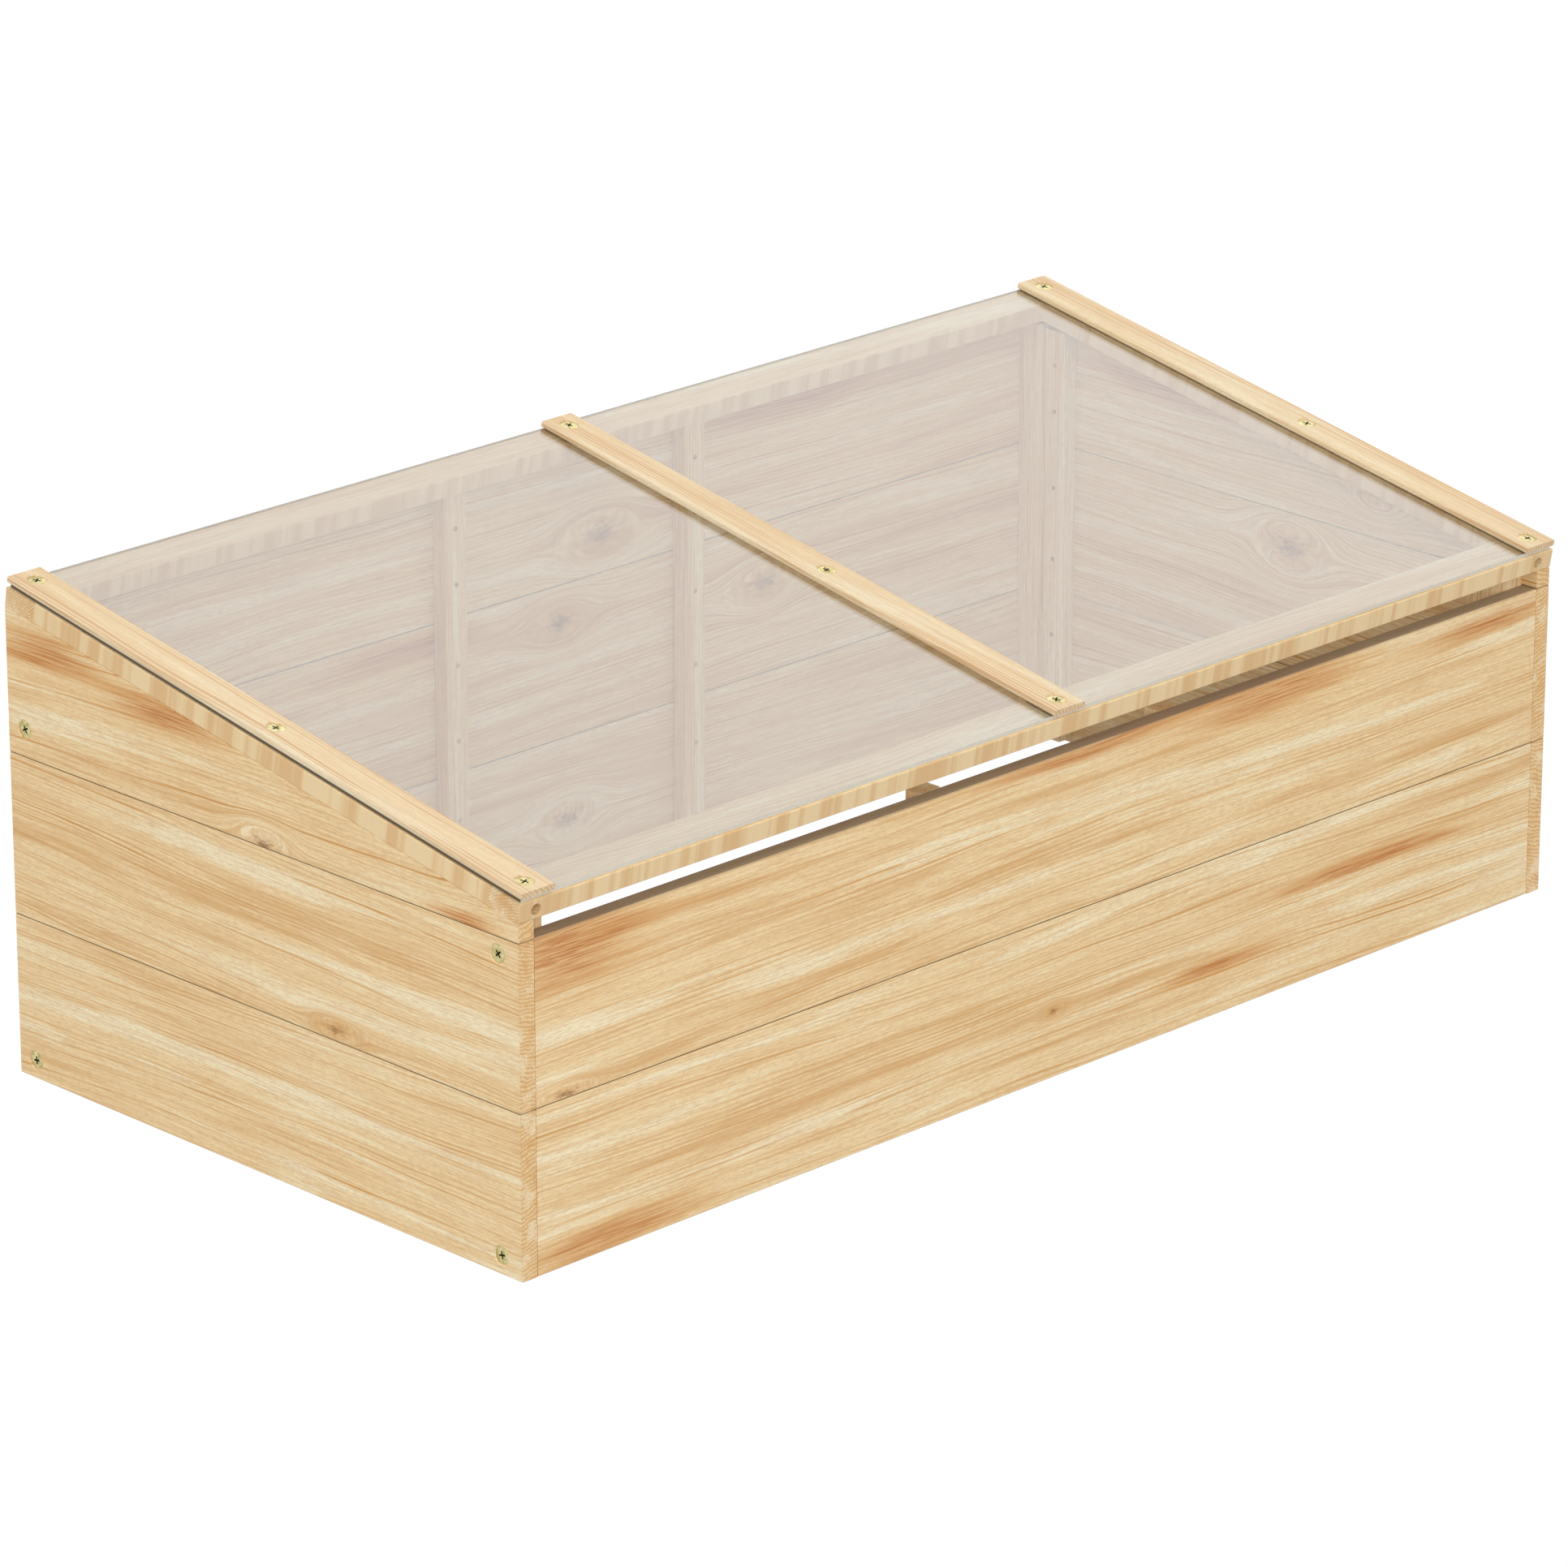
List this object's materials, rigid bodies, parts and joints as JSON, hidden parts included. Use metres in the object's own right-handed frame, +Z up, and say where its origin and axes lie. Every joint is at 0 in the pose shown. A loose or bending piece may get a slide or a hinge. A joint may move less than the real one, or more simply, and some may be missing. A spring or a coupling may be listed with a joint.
{
  "type": "cold frame",
  "caption": "Wooden cold frame: a bottomless boarded box, low in front and high at the back, under a sloping hinged lid of clear sheet held by top strips.",
  "frame": {"origin": "middle of the footprint, on the ground", "axes": "+X to the right along the front, +Y to the hinged back wall, +Z up"},
  "size_m": [1, 0.5092, 0.3567],
  "materials": {
    "wall_wood": "planed fir, untreated",
    "batten_wood": "sawn and planed fir, untreated",
    "lid_wood": "planed fir, untreated",
    "strip_wood": "planed fir strip, untreated",
    "clear_sheet": "smooth clear plastic glazing sheet",
    "zinc": "yellowish zinc plating",
    "hinge_steel": "zinc plated sheet steel"
  },
  "bodies": {
    "box": {"left_board_bottom": "wall_wood", "left_board_middle": "wall_wood", "left_board_top": "wall_wood", "right_board_bottom": "wall_wood", "right_board_middle": "wall_wood", "right_board_top": "wall_wood", "front_board_bottom": "wall_wood", "front_board_top": "wall_wood", "back_board_bottom": "wall_wood", "back_board_middle": "wall_wood", "back_board_top": "wall_wood", "front_left_post": "batten_wood", "front_right_post": "batten_wood", "back_left_post": "batten_wood", "back_right_post": "batten_wood", "front_batten_left": "batten_wood", "front_batten_right": "batten_wood", "back_batten_left": "batten_wood", "back_batten_right": "batten_wood", "left_batten_front": "batten_wood", "left_batten_back": "batten_wood", "right_batten_front": "batten_wood", "right_batten_back": "batten_wood", "left_corner_screws": "zinc", "right_corner_screws": "zinc", "front_wall_nails": "zinc", "back_wall_nails": "zinc", "left_wall_nails": "zinc", "right_wall_nails": "zinc", "hinge_left_box_leaf": "hinge_steel", "hinge_left_pin": "hinge_steel", "hinge_right_box_leaf": "hinge_steel", "hinge_right_pin": "hinge_steel", "hinge_box_screws": "zinc"},
    "lid": {"lid_front_rail": "lid_wood", "lid_back_rail": "lid_wood", "lid_left_stile": "lid_wood", "lid_right_stile": "lid_wood", "lid_sheet": "clear_sheet", "lid_strip_left": "strip_wood", "lid_strip_middle": "strip_wood", "lid_strip_right": "strip_wood", "lid_left_strip_screws": "zinc", "lid_middle_strip_screws": "zinc", "lid_right_strip_screws": "zinc", "lid_front_rail_screws": "zinc", "lid_back_rail_screws": "zinc", "hinge_left_lid_leaf": "hinge_steel", "hinge_right_lid_leaf": "hinge_steel", "hinge_lid_screws": "zinc"}
  },
  "joints": [
    {"name": "lid_hinge", "type": "hinge", "parent": "box", "child": "lid", "pos_m": [0, 0.2528, 0.33525], "axis": [-1, 0, 0], "range_deg": [0, 200]}
  ]
}
